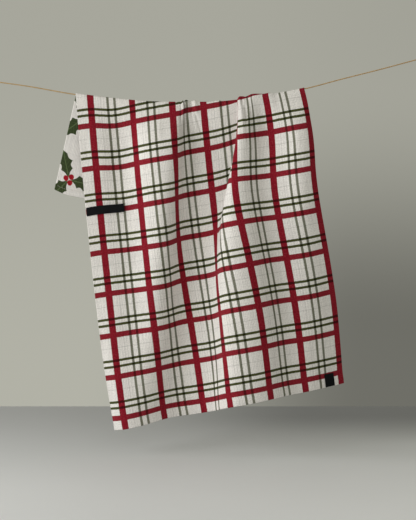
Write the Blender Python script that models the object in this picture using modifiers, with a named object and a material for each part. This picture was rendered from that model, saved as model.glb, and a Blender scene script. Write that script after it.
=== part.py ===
"""A plaid tea towel hung askew over a twine line, with its hanging tape and hem label.

Metres, +Z up. The towel's front faces -Y and the line runs along +X. The origin is the middle of
the loop that ends the line on the left. The drape is worked out in millimetres and degrees: u runs
across the flat cloth from its left edge, v runs up it from the front hem, over the line and down
to the back hem.
"""
import math

import bmesh
import bpy
import numpy as np

MM = 0.001

# Flat cloth
CLOTH_WIDTH = 499.0
CLOTH_LENGTH = 815.0
CLOTH_THICKNESS = 1.2
PLAID_REPEAT = 78.0
LOWEST_RED_WEFT = 22.0

# Twine line, and the gap that the cloth keeps to it
TWINE_DIAMETER = 2.2
CLOTH_GAP = 0.4
PIECE_GAP = 0.4
LOOP_RADIUS = 8.0
KNOT_RADIUS = 3.6
TWINE_POINTS = 80
TWINE_ROUNDNESS = 2

# Hanging tape across the front's left edge, and the label on the front hem
TAPE_LENGTH = 70.0
TAPE_WIDTH = 15.0
TAPE_THICKNESS = 1.0
TAPE_WEFT = 5                 # it lies on this red stripe, counted up from the lowest
TAPE_LIFT = 3.0
TAPE_LIFT_START = 42.0
TAPE_LIFT_LOWER = 0.4         # share of the lift at the tape's lower corner
TAPE_SLANT = 0.025            # it rises to the right away from its stripe
LABEL_LEFT = 457.0
LABEL_WIDTH = 21.0
LABEL_HEIGHT = 24.5
LABEL_THICKNESS = 0.8
TRIM_GAP = 0.5
TRIM_MARGIN = 0.5             # from the cloth's edge to a trim's

# The twine's axis, x and z from the left loop: it sags under the towel
ROUTE = (
    (14.0, -2.0), (86.0, -12.0), (170.0, -26.5), (234.0, -34.5), (309.0, -41.5), (374.0, -42.5),
    (448.0, -41.0), (516.0, -31.5), (599.0, -15.5), (662.0, 1.0), (726.0, 17.0), (804.0, 37.5),
    (822.0, 42.0),
)
LEFT_LOOP = (0.0, 0.0)
RIGHT_LOOP = (835.5, 45.5)

# Where the cloth lies on the line: its left edge, and v on the line at its two edges
TOWEL_LEFT = 174.0
ON_LINE_LEFT = 628.5
ON_LINE_RIGHT = 556.0

# Folds are given at four drops below the line, and blend smoothly between them
DROPS = (0.0, 90.0, 300.0, 600.0)

# Front folds, one flank a row: how far the cloth turns from facing forward, in degrees.
# A positive turn faces left, so the cloth comes forward as u grows.
FLANKS = (
    # name            centre u               half width        turn
    ("corner",        (8, 8, 8, 8),          (16, 16, 16, 26), (0, 0, 0, 40)),
    ("crease_back",   (60, 56, 50, 46),      (24, 26, 34, 40), (-16, -14, -6, 0)),
    ("crease_front",  (118, 114, 106, 94),   (46, 50, 52, 54), (32, 33, 26, 12)),
    ("trough_back",   (212, 202, 163, 94),   (24, 37, 53, 62), (-76, -66, -57, -41)),
    ("trough_front",  (252, 244, 214, 160),  (28, 32, 36, 30), (16, 12, 18, 6)),
    ("pleat_front",   (342, 330, 273, 224),  (18, 21, 54, 66), (88, 118, 72, 64)),
    ("pleat_back",    (384, 379, 368, 354),  (28, 32, 52, 80), (-66, -40, -37, -36)),
    ("panel_front",   (438, 440, 436, 430),  (44, 50, 50, 40), (42, 32, 17, 0)),
    ("edge_back",     (490, 489, 476, 462),  (22, 26, 50, 88), (-30, -24, -31, -32)),
)

# Slope of the wefts, up to the right, and where the cloth is sheared away from it
WEFT_SLOPE = 9.8
SHEARS = (
    # name            centre u               half width        added slope
    ("slack_left",    (44, 44, 48, 56),      (44, 44, 48, 56), (-14.0, -11.0, -4.5, 3.0)),
    ("slack_right",   (88, 88, 115, 125),    (40, 40, 50, 50), (3.0, 3.0, -1.0, -3.5)),
    ("pleat_steep",   (310, 304, 274, 226),  (50, 50, 66, 76), (1.0, 8.0, 8.0, 7.0)),
    ("pleat_after",   (380, 375, 378, 370),  (50, 45, 58, 66), (2.0, -4.5, -5.0, -6.5)),
    ("corner_drop",   (462, 462, 462, 462),  (42, 42, 42, 42), (0.0, 0.0, 0.0, -6.0)),
)

# Cloth bunched along the line: the share of its width taken up in fine wrinkles
GATHERS = (
    # name      centre u, half width, share
    ("bunch",   214.0, 34.0, 0.30),
    ("pleat",   330.0, 40.0, 0.50),
    ("crown",   374.0, 28.0, 0.15),
)

# Bunched and wavy cloth stands off the line, highest at the pleat
LIFTS = (
    # name            centre u, half width, height
    ("bunch_left",    209.0, 10.0, 2.8),
    ("bunch_right",   226.0, 9.0,  3.2),
    ("bunch_far",     243.0, 9.0,  2.8),
    ("panel_left",    286.0, 12.0, 1.6),
    ("pleat_lip",     354.0, 13.0, 4.8),
    ("pleat_crown",   388.0, 44.0, 6.2),
    ("panel_right",   424.0, 16.0, 2.4),
)
LIFT_REACH = 60.0
GATHER_REACH = 90.0
FOLD_START = 100.0            # drop over which folds open out below the line

# Left edge of the front: its lean by drop, bottom to the right; and how far the front stands forward
LEFT_LEAN = ((0.0, 4.8), (150.0, 5.0), (300.0, 5.6), (450.0, 6.6), (600.0, 9.6))
FORWARD = ((0.0, 0.0), (60.0, 9.0), (150.0, 14.0), (300.0, 15.0), (700.0, 4.0))

# Back flap: lean of its edges, its swing away from the front, soft waves and the bulge that the
# front's trough presses into it
BACK_LEAN_LEFT = -14.0
BACK_LEAN_RIGHT = 2.5
BACK_SWING = 6.5
BACK_SPREAD = 170.0
BACK_OPENS = 90.0             # drop over which its waves open out
BACK_WAVE_LENGTH = 125.0
BACK_WAVE_DEPTH = 3.0
BACK_BULGE = (238.0, 85.0, 13.0)   # centre u, half width, depth

# Steps: the worked sheet runs a margin past the line, and the meshes are coarser. Rows are
# closer together towards the line, the more so the higher the power.
SHEET_STEP = 2.0
SHEET_MARGIN = 60.0
FOLD_ZONE = (150.0, 400.0)
COLUMN_STEP = 9.0
FOLD_COLUMN_STEP = 6.0
FRONT_ROWS = 26
FRONT_ROW_POWER = 1.35
ARCH_STEPS = 8
BACK_ROWS = 7
BACK_ROW_POWER = 1.3
TAPE_GRID = (17, 5)
LABEL_GRID = (6, 6)
LOOP_SEGMENTS = (28, 8)
KNOT_SEGMENTS = (16, 10)

COLOURS = {
    # name: colour, roughness
    "towel_cloth": ((0.66, 0.60, 0.52), 0.95),
    "hanging_tape": ((0.010, 0.012, 0.014), 0.8),
    "hem_label": ((0.012, 0.014, 0.016), 0.8),
    "twine": ((0.46, 0.32, 0.15), 0.9),
}


def clear_scene():
    """Remove whatever the file starts with."""
    for item in list(bpy.data.objects):
        bpy.data.objects.remove(item, do_unlink=True)


def make_material(name):
    """One plain material of a named colour."""
    colour, roughness = COLOURS[name]
    material = bpy.data.materials.new(name)
    material.use_nodes = True
    shader = material.node_tree.nodes["Principled BSDF"]
    shader.inputs["Base Color"].default_value = (*colour, 1.0)
    shader.inputs["Roughness"].default_value = roughness
    shader.inputs["Metallic"].default_value = 0.0
    return material


def place(item, material, collection):
    """Put an object in the part's collection, with its material."""
    for owner in list(item.users_collection):
        owner.objects.unlink(item)
    collection.objects.link(item)
    item.data.materials.clear()
    item.data.materials.append(material)


# ---- Curves and bells ----------------------------------------------------------------------

def through(stations, values, at):
    """Smooth cubic curve through a few values, level at its peaks."""
    stations = np.asarray(stations, float)
    values = np.asarray(values, float)
    slopes = np.gradient(values, stations)
    steps = np.diff(values)
    slopes[1:-1][steps[:-1] * steps[1:] <= 0] = 0.0
    at = np.clip(at, stations[0], stations[-1])
    left = np.clip(np.searchsorted(stations, at) - 1, 0, len(stations) - 2)
    span = stations[left + 1] - stations[left]
    s = (at - stations[left]) / span
    start = (2 * s**3 - 3 * s**2 + 1) * values[left] + (s**3 - 2 * s**2 + s) * span * slopes[left]
    end = (3 * s**2 - 2 * s**3) * values[left + 1] + (s**3 - s**2) * span * slopes[left + 1]
    return start + end


def through_pairs(pairs, at):
    """The same curve through (station, value) pairs."""
    stations, values = zip(*pairs)
    return through(stations, values, at)


def bell(x):
    """1 at the middle, falling as a cosine to 0 at -1 and 1."""
    return 0.5 * (1.0 + np.cos(np.pi * np.clip(x, -1.0, 1.0)))


def ease(x):
    """0 to 1 with level ends."""
    x = np.clip(x, 0.0, 1.0)
    return x * x * (3.0 - 2.0 * x)


def added(rows, u, drop):
    """Sum of the bells in a table of folds, at each u and drop."""
    total = np.zeros_like(u)
    for _, centre, half, size in rows:
        offset = (u - through(DROPS, centre, drop)) / through(DROPS, half, drop)
        total += through(DROPS, size, drop) * bell(offset)
    return total


def running(values, u):
    """Running integral of each row along u."""
    area = 0.5 * (values[:, 1:] + values[:, :-1]) * np.diff(u)
    return np.concatenate([np.zeros((len(values), 1)), np.cumsum(area, axis=1)], axis=1)


def line_height(x):
    """Height of the twine's axis."""
    return through_pairs(ROUTE, x)


# ---- The drape -----------------------------------------------------------------------------

def line_radius():
    """From the twine's axis to the middle of the cloth that rests on it."""
    return TWINE_DIAMETER / 2 + CLOTH_GAP + CLOTH_THICKNESS / 2


def front_sheet(u, v):
    """Middle surface of the front: x, y and z for each row v and column u.

    Along each row the cloth turns by its folds, so its width is kept as it goes in and out."""
    grid_u, grid_v = np.meshgrid(u, v)
    on_line = ON_LINE_LEFT + (ON_LINE_RIGHT - ON_LINE_LEFT) * grid_u / CLOTH_WIDTH
    drop = np.clip(on_line - grid_v, 0.0, None)
    turn = np.radians(added(FLANKS, grid_u, drop))
    slope = np.radians(WEFT_SLOPE + added(SHEARS, grid_u, drop))
    kept = np.ones_like(grid_u)
    for _, centre, half, share in GATHERS:
        kept -= share * bell((grid_u - centre) / half) * np.exp(-drop / GATHER_REACH)

    x_left, z_left = left_edge(v)
    x = x_left[:, None] + running(np.cos(turn) * np.cos(slope) * kept, u)
    z = z_left[:, None] + running(np.sin(slope), u)
    depth = running(np.sin(turn) * np.cos(slope), u)
    lifted = line_lift(grid_u) * np.exp(-drop / LIFT_REACH)
    y = -line_radius() - ease(drop / FOLD_START) * depth - through_pairs(FORWARD, drop) - lifted
    return x, y, z


def left_edge(v):
    """x and z of the front's left edge, followed down and up from the line by its lean."""
    path = np.arange(0.0, ON_LINE_LEFT + SHEET_MARGIN, SHEET_STEP)
    lean = np.radians(through_pairs(LEFT_LEAN, ON_LINE_LEFT - path))[None, :]
    across = running(np.sin(lean), path)[0]
    up = running(np.cos(lean), path)[0]
    x = TOWEL_LEFT - (across - np.interp(ON_LINE_LEFT, path, across))
    z = line_height(TOWEL_LEFT) + up - np.interp(ON_LINE_LEFT, path, up)
    return np.interp(v, path, x), np.interp(v, path, z)


def line_lift(u):
    """How far bunched cloth stands off the line."""
    return sum(height * bell((u - centre) / half) for _, centre, half, height in LIFTS)


def towel_points(u):
    """Middle surface of the whole towel, as rows of points from the front hem to the back hem."""
    v = np.arange(0.0, ON_LINE_LEFT + SHEET_MARGIN, SHEET_STEP)
    x, y, z = front_sheet(u, v)
    above = z - line_height(x)
    near_top = v > ON_LINE_RIGHT / 2
    top = np.array([np.interp(0.0, above[near_top, j], v[near_top]) for j in range(len(u))])
    crest_x = np.array([np.interp(top[j], v, x[:, j]) for j in range(len(u))])
    crest_z = line_height(crest_x)
    radius = line_radius() + line_lift(u)

    rows = []
    for share in 1.0 - (1.0 - np.linspace(0.0, 1.0, FRONT_ROWS)) ** FRONT_ROW_POWER:
        at = top * share
        columns = [[np.interp(at[j], v, part[:, j]) for j in range(len(u))] for part in (x, y, z)]
        rows.append(columns)
    rows[-1] = [crest_x, -radius, crest_z]
    for angle in np.linspace(0.0, np.pi, ARCH_STEPS + 1)[1:-1]:
        rows.append([crest_x, -radius * np.cos(angle), crest_z + radius * np.sin(angle)])

    even_x = crest_x[0] + (crest_x[-1] - crest_x[0]) * u / CLOTH_WIDTH
    even_z = line_height(even_x)
    lean = np.radians(BACK_LEAN_LEFT + (BACK_LEAN_RIGHT - BACK_LEAN_LEFT) * u / CLOTH_WIDTH)
    length = CLOTH_LENGTH - top - np.pi * radius
    wave = BACK_WAVE_DEPTH * 0.5 * (1.0 - np.cos(2 * np.pi * u / BACK_WAVE_LENGTH))
    bulge_u, bulge_half, bulge_depth = BACK_BULGE
    bulge = bulge_depth * bell((u - bulge_u) / bulge_half)
    for share in np.linspace(0.0, 1.0, BACK_ROWS) ** BACK_ROW_POWER:
        drop = length * share
        spread = ease(drop / BACK_SPREAD)
        opened = ease(drop / BACK_OPENS)
        x_back = crest_x * (1 - spread) + even_x * spread + drop * np.sin(lean)
        z_back = crest_z * (1 - spread) + even_z * spread - drop * np.cos(lean)
        y_back = line_radius() + line_lift(u) * np.exp(-drop / LIFT_REACH)
        y_back = y_back + drop * math.tan(math.radians(BACK_SWING)) + opened * (wave + bulge)
        rows.append([x_back, y_back, z_back])
    return np.array(rows).transpose(0, 2, 1)


def front_patch(u, v, offset, slant=0.0):
    """Points that follow the front at a distance in front of its middle surface.

    Its rows leave the cloth's own by slant, up to the right."""
    all_u = np.arange(0.0, CLOTH_WIDTH + 1.0)
    parts = front_sheet(all_u, v)
    points = np.stack([[np.interp(u, all_u, row) for row in part] for part in parts], axis=-1)
    along = np.gradient(points, v, axis=0)
    normal = np.cross(np.gradient(points, u, axis=1), along)
    normal /= np.linalg.norm(normal, axis=-1, keepdims=True)
    return points + normal * offset[..., None] + along * (slant * (u - u[0]))[:, None]


# ---- Pieces --------------------------------------------------------------------------------

def sheet_object(name, points, thickness, material, collection):
    """A grid bent to rows of points and thickened to both sides."""
    rows, columns = points.shape[:2]
    mesh = bpy.data.meshes.new(name)
    bm = bmesh.new()
    bmesh.ops.create_grid(bm, x_segments=columns - 1, y_segments=rows - 1, size=1.0)
    bm.verts.ensure_lookup_table()
    for vertex, point in zip(bm.verts, points.reshape(-1, 3)):
        vertex.co = point * MM
    bm.to_mesh(mesh)
    bm.free()
    mesh.shade_smooth()
    item = bpy.data.objects.new(name, mesh)
    thicken = item.modifiers.new("thickness", "SOLIDIFY")
    thicken.thickness = thickness * MM
    thicken.offset = 0.0
    collection.objects.link(item)
    place(item, material, collection)
    return item


def towel_columns():
    """Columns across the cloth, closer together at the trough and the pleat."""
    start, end = FOLD_ZONE
    left = np.arange(0.0, start, COLUMN_STEP)
    middle = np.arange(start, end, FOLD_COLUMN_STEP)
    right = np.arange(CLOTH_WIDTH, end, -COLUMN_STEP)[::-1]
    return np.concatenate([left, middle, right])


def make_towel(collection):
    """The cloth, in one piece with its hems."""
    points = towel_points(towel_columns())
    return sheet_object("towel_cloth", points, CLOTH_THICKNESS, make_material("towel_cloth"), collection)


def make_tape(collection):
    """The hanging tape: sewn at the cloth's left edge, its right end lifting a little."""
    columns, rows = TAPE_GRID
    u = np.linspace(TRIM_MARGIN, TAPE_LENGTH, columns)
    middle = LOWEST_RED_WEFT + TAPE_WEFT * PLAID_REPEAT
    v = np.linspace(middle - TAPE_WIDTH / 2, middle + TAPE_WIDTH / 2, rows)
    grid_u, grid_v = np.meshgrid(u, v)
    close = CLOTH_THICKNESS / 2 + TRIM_GAP + TAPE_THICKNESS / 2
    upper = (grid_v - v[0]) / TAPE_WIDTH
    lift = TAPE_LIFT * ease((grid_u - TAPE_LIFT_START) / (TAPE_LENGTH - TAPE_LIFT_START))
    lift *= TAPE_LIFT_LOWER + (1.0 - TAPE_LIFT_LOWER) * upper
    points = front_patch(u, v, close + lift, TAPE_SLANT)
    return sheet_object("hanging_tape", points, TAPE_THICKNESS, make_material("hanging_tape"), collection)


def make_label(collection):
    """The small bare label on the front hem."""
    columns, rows = LABEL_GRID
    u = np.linspace(LABEL_LEFT, LABEL_LEFT + LABEL_WIDTH, columns)
    v = np.linspace(TRIM_MARGIN, LABEL_HEIGHT, rows)
    close = CLOTH_THICKNESS / 2 + TRIM_GAP + LABEL_THICKNESS / 2
    points = front_patch(u, v, np.full((len(v), len(u)), close))
    return sheet_object("hem_label", points, LABEL_THICKNESS, make_material("hem_label"), collection)


def make_twine(material, collection):
    """The line itself, a plain tube along its route."""
    first = ROUTE[0][0] + PIECE_GAP
    last = ROUTE[-1][0] - PIECE_GAP
    x = np.linspace(first, last, TWINE_POINTS)
    z = line_height(x)
    curve = bpy.data.curves.new("twine_line", "CURVE")
    curve.dimensions = "3D"
    curve.bevel_depth = TWINE_DIAMETER / 2 * MM
    curve.bevel_resolution = TWINE_ROUNDNESS
    curve.use_fill_caps = True
    spline = curve.splines.new("POLY")
    spline.points.add(TWINE_POINTS - 1)
    for point, px, pz in zip(spline.points, x, z):
        point.co = (px * MM, 0.0, pz * MM, 1.0)
    item = bpy.data.objects.new("twine_line", curve)
    collection.objects.link(item)
    place(item, material, collection)
    return item


def make_loop(name, centre, end, material, collection):
    """A loop at an end of the line, fused with the knot that is given back."""
    reach = math.hypot(end[0] - centre[0], end[1] - centre[1])
    knot_middle = (reach - KNOT_RADIUS) / reach
    knot_x = centre[0] + (end[0] - centre[0]) * knot_middle
    knot_z = centre[1] + (end[1] - centre[1]) * knot_middle
    bpy.ops.mesh.primitive_torus_add(
        major_radius=LOOP_RADIUS * MM, minor_radius=TWINE_DIAMETER / 2 * MM,
        major_segments=LOOP_SEGMENTS[0], minor_segments=LOOP_SEGMENTS[1],
        location=(centre[0] * MM, 0.0, centre[1] * MM), rotation=(math.pi / 2, 0.0, 0.0))
    loop = bpy.context.object
    loop.name = name
    bpy.ops.mesh.primitive_uv_sphere_add(
        segments=KNOT_SEGMENTS[0], ring_count=KNOT_SEGMENTS[1], radius=KNOT_RADIUS * MM,
        location=(knot_x * MM, 0.0, knot_z * MM))
    knot = bpy.context.object
    knot.name = name + "_knot_cutter"
    knot.hide_render = True
    knot.display_type = "WIRE"
    fuse = loop.modifiers.new("knot", "BOOLEAN")
    fuse.operation = "UNION"
    fuse.object = knot
    place(loop, material, collection)
    return knot


def build():
    """Make every piece of the towel and its line."""
    clear_scene()
    collection = bpy.data.collections.new("tea_towel_on_line")
    bpy.context.scene.collection.children.link(collection)
    helpers = bpy.data.collections.new("cutters")
    bpy.context.scene.collection.children.link(helpers)
    make_towel(collection)
    make_tape(collection)
    make_label(collection)
    twine = make_material("twine")
    make_twine(twine, collection)
    for name, centre, end in (("line_loop_left", LEFT_LOOP, ROUTE[0]),
                              ("line_loop_right", RIGHT_LOOP, ROUTE[-1])):
        place(make_loop(name, centre, end, twine, collection), twine, helpers)


build()
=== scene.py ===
"""A plaid tea towel hung askew over a twine line, worked up for close looking.

The drape is worked out in millimetres and degrees. u runs across the flat cloth from its left edge,
v runs up it from the front hem, over the line and down to the back hem. Everything is put into the
scene in metres, +Z up, with the towel's front facing -Y and the left loop of the line at the origin.
"""
import math

import bmesh
import bpy
import numpy as np
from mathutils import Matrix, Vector


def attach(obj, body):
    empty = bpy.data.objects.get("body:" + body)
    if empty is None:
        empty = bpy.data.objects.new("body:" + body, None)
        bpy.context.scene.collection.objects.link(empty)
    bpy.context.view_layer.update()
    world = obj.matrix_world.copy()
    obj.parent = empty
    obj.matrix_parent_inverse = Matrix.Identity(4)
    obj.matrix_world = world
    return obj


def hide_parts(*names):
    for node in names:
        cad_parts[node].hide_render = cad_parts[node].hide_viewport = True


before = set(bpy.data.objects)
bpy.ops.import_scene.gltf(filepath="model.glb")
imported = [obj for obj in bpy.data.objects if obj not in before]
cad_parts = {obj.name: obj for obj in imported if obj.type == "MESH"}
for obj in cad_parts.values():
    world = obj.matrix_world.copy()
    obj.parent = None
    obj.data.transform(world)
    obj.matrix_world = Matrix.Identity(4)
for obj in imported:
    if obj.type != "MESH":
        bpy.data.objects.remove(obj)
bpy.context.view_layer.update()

bl_info = {
    "name": "Plaid tea towel on a twine line",
    "version": (1, 0, 0),
    "blender": (4, 5, 0),
    "location": "3D View > Sidebar > Tea Towel",
    "description": "Makes a draped plaid tea towel, its trims and the twine that it hangs on",
    "category": "Add Mesh",
}

MM = 0.001
BODY = "root"
FULL_TURN = 2.0 * math.pi
WELD = 0.0005                 # points closer than this are one

# The twine's axis, x and z from the left loop: it sags under the towel
ROUTE = (
    (14.0, -2.0), (86.0, -12.0), (170.0, -26.5), (234.0, -34.5), (309.0, -41.5), (374.0, -42.5),
    (448.0, -41.0), (516.0, -31.5), (599.0, -15.5), (662.0, 1.0), (726.0, 17.0), (804.0, 37.5),
    (822.0, 42.0),
)
LEFT_LOOP = (0.0, 0.0)
RIGHT_LOOP = (835.5, 45.5)
END_GAP = 0.4
LINE_POINTS = 1150

# The line's plies
PLIES = 3
PLY_SIDES = 8
PLY_FULLNESS = 1.06           # their thickness, as a share of what three that just touch have
PLY_UNEVEN = 0.05             # how much thicker and thinner they are in places

# The loop at each end of the line, and the knot's wraps round the line beside it
LOOP_RADIUS = 8.0
LOOP_OPENING = 0.10           # how far the ring stops short of closing, in radians
LOOP_POINTS = 90
KNOT_WRAPS = 3.0
KNOT_START = 0.4              # gap between the loop and the first wrap
KNOT_LENGTH = 5.4             # along the line
KNOT_SPREAD = 1.75            # how far out the wraps lie, as a share of the line's radius
KNOT_SWELL = 0.35             # how much further out the last one lies
KNOT_STRAND = 0.82            # the wraps' thickness, as a share of the line's

# Where the cloth lies on the line: its left edge, and v on the line at its two edges
TOWEL_LEFT = 174.0
ON_LINE_LEFT = 628.5
ON_LINE_RIGHT = 556.0
SOLID_THICKNESS = 1.2
CLOTH_GAP = 0.4

# The hanging tape's place and how its right end lifts
TAPE_WEFT = 5                 # the red stripe at its middle, counted up from the lowest as 0
TAPE_SLANT = 0.025            # how far its rows rise beside the wefts, up to the right
TAPE_LIFT = 3.0
TAPE_LIFT_START = 42.0        # from the cloth's left edge
TAPE_LIFT_LOWER = 0.4         # share of the lift at the lower corner
TAPE_WAVE = 0.12

# How far the tape and the label stay from the cloth, and the solids' thicknesses
TRIM_GAP = 0.5
SOLID_TAPE = 1.0
SOLID_LABEL = 0.8

# Their thickness, as shares of the whole: the tape is fullest just inside its woven edges, and the
# label thins at its cut ones
TAPE_MIDDLE = 0.82
TAPE_EDGE = 0.3
TAPE_EDGE_PLACE = 0.6         # from its edge
TAPE_EDGE_HALF = 1.1
LABEL_EDGE = 0.7
LABEL_EDGE_WIDTH = 1.2

# Lines of points across them: those near one edge, those near the other, counted from that edge,
# and how many run evenly from the last of the first to the last of the second
TAPE_ALONG = ((0.5, 1.0, 1.8, 3.0), (0.0, 0.3, 0.8, 2.0), 66)
TAPE_ACROSS = ((0.0, 0.3, 0.8, 1.6), (0.0, 0.3, 0.8, 1.6), 15)
LABEL_ACROSS = ((0.0, 0.25, 0.7, 1.5), (0.0, 0.25, 0.7, 1.5), 22)
LABEL_UP = ((0.5, 0.75, 1.2, 2.0), (0.0, 0.25, 0.7, 1.5), 24)

# Folds are given at four drops below the line, and blend smoothly between them
DROPS = (0.0, 90.0, 300.0, 600.0)

# Front folds, one flank a row: how far the cloth turns from facing forward, in degrees.
# A positive turn faces left, so the cloth comes forward as u grows.
FLANKS = (
    # name            centre u               half width        turn
    ("corner",        (8, 8, 8, 8),          (16, 16, 16, 26), (0, 0, 0, 40)),
    ("crease_back",   (60, 56, 50, 46),      (24, 26, 34, 40), (-16, -14, -6, 0)),
    ("crease_front",  (118, 114, 106, 94),   (46, 50, 52, 54), (32, 33, 26, 12)),
    ("trough_back",   (212, 202, 163, 94),   (24, 37, 53, 62), (-76, -66, -57, -41)),
    ("trough_front",  (252, 244, 214, 160),  (28, 32, 36, 30), (16, 12, 18, 6)),
    ("pleat_front",   (342, 330, 273, 224),  (18, 21, 54, 66), (88, 118, 72, 64)),
    ("pleat_back",    (384, 379, 368, 354),  (28, 32, 52, 80), (-66, -40, -37, -36)),
    ("panel_front",   (438, 440, 436, 430),  (44, 50, 50, 40), (42, 32, 17, 0)),
    ("edge_back",     (490, 489, 476, 462),  (22, 26, 50, 88), (-30, -24, -31, -32)),
    ("edge_roll",     (499, 499, 499, 499),  (14, 14, 14, 14), (-24, -19, -9, -7)),
)

# Slope of the wefts, up to the right, and where the cloth is sheared away from it
WEFT_SLOPE = 9.8
SHEARS = (
    # name            centre u               half width        added slope
    ("slack_left",    (44, 44, 48, 56),      (44, 44, 48, 56), (-14.0, -11.0, -4.5, 3.0)),
    ("slack_right",   (88, 88, 115, 125),    (40, 40, 50, 50), (3.0, 3.0, -1.0, -3.5)),
    ("pleat_steep",   (310, 304, 274, 226),  (50, 50, 66, 76), (1.0, 8.0, 8.0, 7.0)),
    ("pleat_after",   (380, 375, 378, 370),  (50, 45, 58, 66), (2.0, -4.5, -5.0, -6.5)),
    ("corner_drop",   (462, 462, 462, 462),  (42, 42, 42, 42), (0.0, 0.0, 0.0, -6.0)),
)

# Cloth bunched along the line: the share of its width taken up in fine wrinkles
GATHERS = (
    # name      centre u, half width, share
    ("bunch",   214.0, 34.0, 0.30),
    ("pleat",   330.0, 40.0, 0.50),
    ("crown",   374.0, 28.0, 0.15),
)

# Bunched and wavy cloth stands off the line, highest at the pleat
LIFTS = (
    # name            centre u, half width, height
    ("bunch_left",    209.0, 10.0, 2.8),
    ("bunch_right",   226.0, 9.0,  3.2),
    ("bunch_far",     243.0, 9.0,  2.8),
    ("panel_left",    286.0, 12.0, 1.6),
    ("pleat_lip",     354.0, 13.0, 4.8),
    ("pleat_crown",   388.0, 44.0, 6.2),
    ("panel_right",   424.0, 16.0, 2.4),
)
LIFT_REACH = 60.0
LIFT_EVENS = 45.0             # how much wider a lift is by the back hem
GATHER_REACH = 90.0
FOLD_START = 100.0            # drop over which folds open out below the line

# Left edge of the front: its lean by drop, bottom to the right; and how far the front stands forward
LEFT_LEAN = ((0.0, 4.8), (150.0, 5.0), (300.0, 5.6), (450.0, 6.6), (600.0, 9.6))
FORWARD = ((0.0, 0.0), (60.0, 9.0), (150.0, 14.0), (300.0, 15.0), (700.0, 4.0))

# Back flap: lean of its edges, its swing away from the front, soft waves and the bulge that the
# front's trough presses into it
BACK_LEAN_LEFT = -14.0
BACK_LEAN_RIGHT = 2.5
BACK_SWING = 6.5
BACK_SPREAD = 170.0
BACK_OPENS = 90.0
BACK_WAVE_LENGTH = 125.0
BACK_WAVE_DEPTH = 3.0
BACK_BULGE = (238.0, 85.0, 13.0)   # centre u, half width, depth

# Small creases on the front, laid over the folds: soft ridges and troughs along their own paths
CREASES = (
    # name           u at the top, u at the foot, drop at the top, drop at the foot, half width, height
    ("left_slack",   44.0,  46.0,  20.0, 330.0, 44.0, -1.4),
    ("right_edge",   499.0, 499.0, -8.0, 130.0, 13.0, -2.2),
    ("pleat_pull",   330.0, 300.0, 60.0, 640.0, 95.0,  5.5),
    ("pleat_foot",   350.0, 345.0, 260.0, 720.0, 60.0, 3.2),
    ("line_pull_a",  22.0,  30.0,   4.0, 120.0,  9.0,  0.7),
    ("line_pull_b",  104.0, 96.0,   4.0, 150.0,  8.0, -0.8),
    ("line_pull_c",  158.0, 150.0,  4.0, 110.0,  7.0,  0.7),
    ("bunch_pull_a", 201.0, 197.0, -14.0, 60.0,  4.5, -2.4),
    ("bunch_pull_b", 210.0, 214.0, -14.0, 60.0,  4.5,  1.2),
    ("bunch_pull_c", 218.0, 226.0, -14.0, 90.0,  4.5, -2.8),
    ("bunch_pull_d", 226.5, 242.0, -14.0, 90.0,  4.5,  1.2),
    ("bunch_pull_e", 235.0, 256.0, -14.0, 80.0,  4.5, -2.6),
    ("bunch_pull_f", 252.0, 284.0, -10.0, 80.0,  5.5, -1.2),
    ("bunch_loop_a", 209.0, 210.0, -10.0, 24.0,  4.6,  1.3),
    ("bunch_loop_b", 226.0, 228.0, -10.0, 24.0,  4.6,  1.7),
    ("bunch_loop_c", 243.0, 246.0, -10.0, 24.0,  4.6,  1.4),
    ("bunch_dip_a",  217.5, 218.5, -4.0,  26.0,  3.6, -2.6),
    ("bunch_dip_b",  234.5, 237.0, -4.0,  26.0,  3.6, -2.6),
    ("lip_notch",    356.0, 358.0, -16.0, 18.0,  3.8, -4.0),
    ("lip_dip",      347.0, 349.0, -4.0,  26.0,  3.6, -2.8),
    ("lip_fold",     361.0, 365.0,  4.0,  56.0,  4.5, -3.2),
    ("lip_pull",     350.0, 362.0, -10.0, 110.0, 5.0,  1.2),
    ("crown_pull_a", 374.0, 381.0, -12.0, 100.0, 5.0, -1.6),
    ("crown_pull_b", 388.0, 396.0,  4.0,  90.0,  5.0,  0.9),
    ("panel_pull_a", 404.0, 412.0,  4.0, 130.0,  9.0, -1.2),
    ("panel_pull_b", 430.0, 438.0,  4.0,  90.0,  7.0,  0.8),
    ("panel_pull_c", 466.0, 458.0,  4.0, 200.0, 10.0,  0.9),
)

# The plaid's stripes, counted across the cloth (u) or up it (v): place from the red stripe, as a
# share of the repeat, width in millimetres, and how strongly they dye the cloth
GREY_LINES = (
    ("u", 0.24, 1.1, 0.46), ("u", 0.18, 0.9, 0.22), ("u", 0.305, 0.9, 0.28),
    ("u", 0.70, 0.8, 0.10), ("u", 0.79, 0.8, 0.14), ("v", 0.692, 1.2, 0.42),
)
GREEN_STRIPES = (
    ("u", 0.407, 4.6, 0.84), ("u", 0.5735, 4.6, 0.82),
    ("v", 0.247, 4.7, 0.985), ("v", 0.389, 4.7, 0.985),
)

# The red stripes: way, width and strength
RED_STRIPES = (("u", 12.4, 1.0), ("v", 10.2, 0.993))
RED_RESISTS = 0.22            # how much less the green takes on red
STRIPE_BLUR = 0.35

# The weave, painted shade between its ribs and picks, and how thick and thin yarns tone the cloth
YARN_WANDER = 1.7
PICK_PITCH = 1.15
WEAVE_RELIEF = 0.22
RIB_PAINTED_SHADE = 0.13
PICK_PAINTED_SHADE = 0.07
WARP_SHADE = 0.075
WEFT_SHADE = 0.05

# Pitch of the tape's cross ribs, the label's twill and the thread's twist
TAPE_RIB = 0.85
LABEL_TWILL = 0.6
THREAD_TWIST = 0.5

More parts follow.
